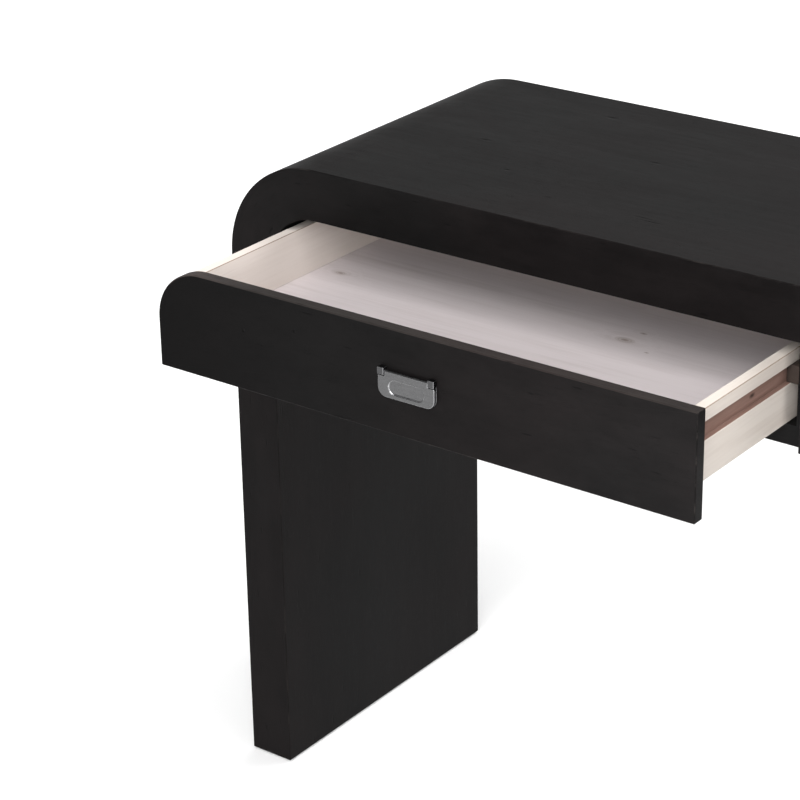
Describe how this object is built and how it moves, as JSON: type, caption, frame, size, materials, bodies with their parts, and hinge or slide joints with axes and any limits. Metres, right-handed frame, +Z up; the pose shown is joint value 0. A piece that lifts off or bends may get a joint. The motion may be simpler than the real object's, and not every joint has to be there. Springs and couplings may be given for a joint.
{
  "type": "console table",
  "caption": "Waterfall console table in black-stained wood with rounded corners, drawers on wooden runners under the top, and hinged flap pulls.",
  "frame": {"origin": "on the floor, under the middle of the box round the table as it stands with the left drawer 188 mm open", "axes": "+X along the table to the right seen from the front, +Y from the drawer fronts to the back, +Z up"},
  "size_m": [1.425, 0.5838, 0.76],
  "materials": {
    "black_veneer": "satin black stain over veneer",
    "stained_board": "matt dark stain",
    "runner_wood": "dark stained hardwood, waxed",
    "limed_wood": "limed, matt",
    "dowel_wood": "plain beech",
    "zinc_steel": "zinc plated",
    "pull_metal": "pewter grey, lightly brushed",
    "pin_steel": "plain steel",
    "nylon": "matt"
  },
  "bodies": {
    "table": {"top_panel": "black_veneer", "left_corner": "black_veneer", "right_corner": "black_veneer", "left_leg": "black_veneer", "right_leg": "black_veneer", "bottom_board": "black_veneer", "back_panel": "stained_board", "centre_partition": "stained_board", "left_inner_side": "stained_board", "right_inner_side": "stained_board", "left_bay_outer_runner": "runner_wood", "left_bay_inner_runner": "runner_wood", "right_bay_outer_runner": "runner_wood", "right_bay_inner_runner": "runner_wood", "floor_glides": "nylon", "shell_dowels": "dowel_wood", "case_screws": "zinc_steel", "back_screws": "zinc_steel", "runner_screws": "zinc_steel"},
    "left_drawer": {"left_drawer_front": "black_veneer", "left_drawer_outer_side": "limed_wood", "left_drawer_inner_side": "limed_wood", "left_drawer_back": "limed_wood", "left_drawer_bottom": "limed_wood", "left_drawer_dowels": "dowel_wood", "left_drawer_screws": "zinc_steel", "left_pull_plate": "pull_metal", "left_pull_screws": "zinc_steel", "left_pull_pin": "pin_steel"},
    "left_flap": {"left_pull_flap": "pull_metal"},
    "right_drawer": {"right_drawer_front": "black_veneer", "right_drawer_outer_side": "limed_wood", "right_drawer_inner_side": "limed_wood", "right_drawer_back": "limed_wood", "right_drawer_bottom": "limed_wood", "right_drawer_dowels": "dowel_wood", "right_drawer_screws": "zinc_steel", "right_pull_plate": "pull_metal", "right_pull_screws": "zinc_steel", "right_pull_pin": "pin_steel"},
    "right_flap": {"right_pull_flap": "pull_metal"}
  },
  "joints": [
    {"name": "left_drawer_slide", "type": "slide", "parent": "table", "child": "left_drawer", "axis": [0, -1, 0], "range_m": [-0.188, 0.082]},
    {"name": "left_flap_hinge", "type": "hinge", "parent": "left_drawer", "child": "left_flap", "pos_m": [-0.32725, -0.2893, 0.65475], "axis": [-1, 0, 0], "range_deg": [0, 100]},
    {"name": "right_drawer_slide", "type": "slide", "parent": "table", "child": "right_drawer", "axis": [0, -1, 0], "range_m": [0, 0.27]},
    {"name": "right_flap_hinge", "type": "hinge", "parent": "right_drawer", "child": "right_flap", "pos_m": [0.32725, -0.1013, 0.65475], "axis": [-1, 0, 0], "range_deg": [0, 100]}
  ]
}
